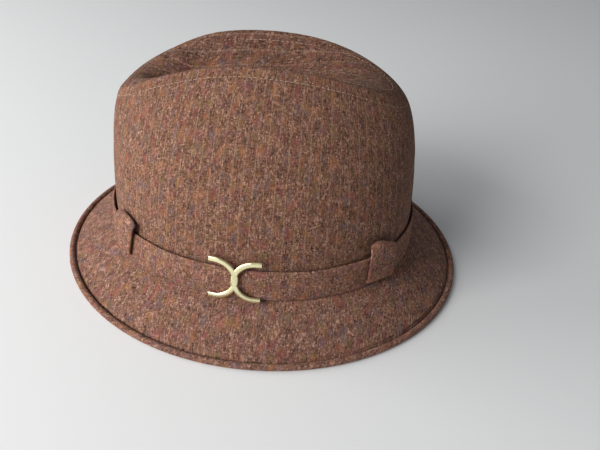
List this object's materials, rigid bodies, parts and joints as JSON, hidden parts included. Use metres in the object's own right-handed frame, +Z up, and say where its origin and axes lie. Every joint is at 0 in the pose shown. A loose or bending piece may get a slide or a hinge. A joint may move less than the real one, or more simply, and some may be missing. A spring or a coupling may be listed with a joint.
{
  "type": "fedora",
  "caption": "Tweed fedora with a lengthwise crease, stitched tip seam, turned-down piped brim, cloth band held by loops and a brass ornament of two half rings.",
  "frame": {"origin": "middle of the outline seen from above, at the height where the brim's edge rests", "axes": "-Y towards the front of the hat, +X towards the wearer's left, where the ornament is, and +Z up out of the crown"},
  "size_m": [0.252, 0.282, 0.1485],
  "materials": {
    "tweed_cloth": "heather brown wool tweed with faint lengthwise stripes",
    "band_cloth": "the same wool tweed, cut for the band and its loops",
    "brass": "polished pale brass"
  },
  "bodies": {
    "root": {"side_crown": "tweed_cloth", "crown_tip": "tweed_cloth", "brim": "tweed_cloth", "brim_piping": "tweed_cloth", "hat_band": "band_cloth", "loop_front_left": "band_cloth", "loop_back_left": "band_cloth", "loop_back_right": "band_cloth", "loop_front_right": "band_cloth", "ornament": "brass"}
  },
  "joints": []
}
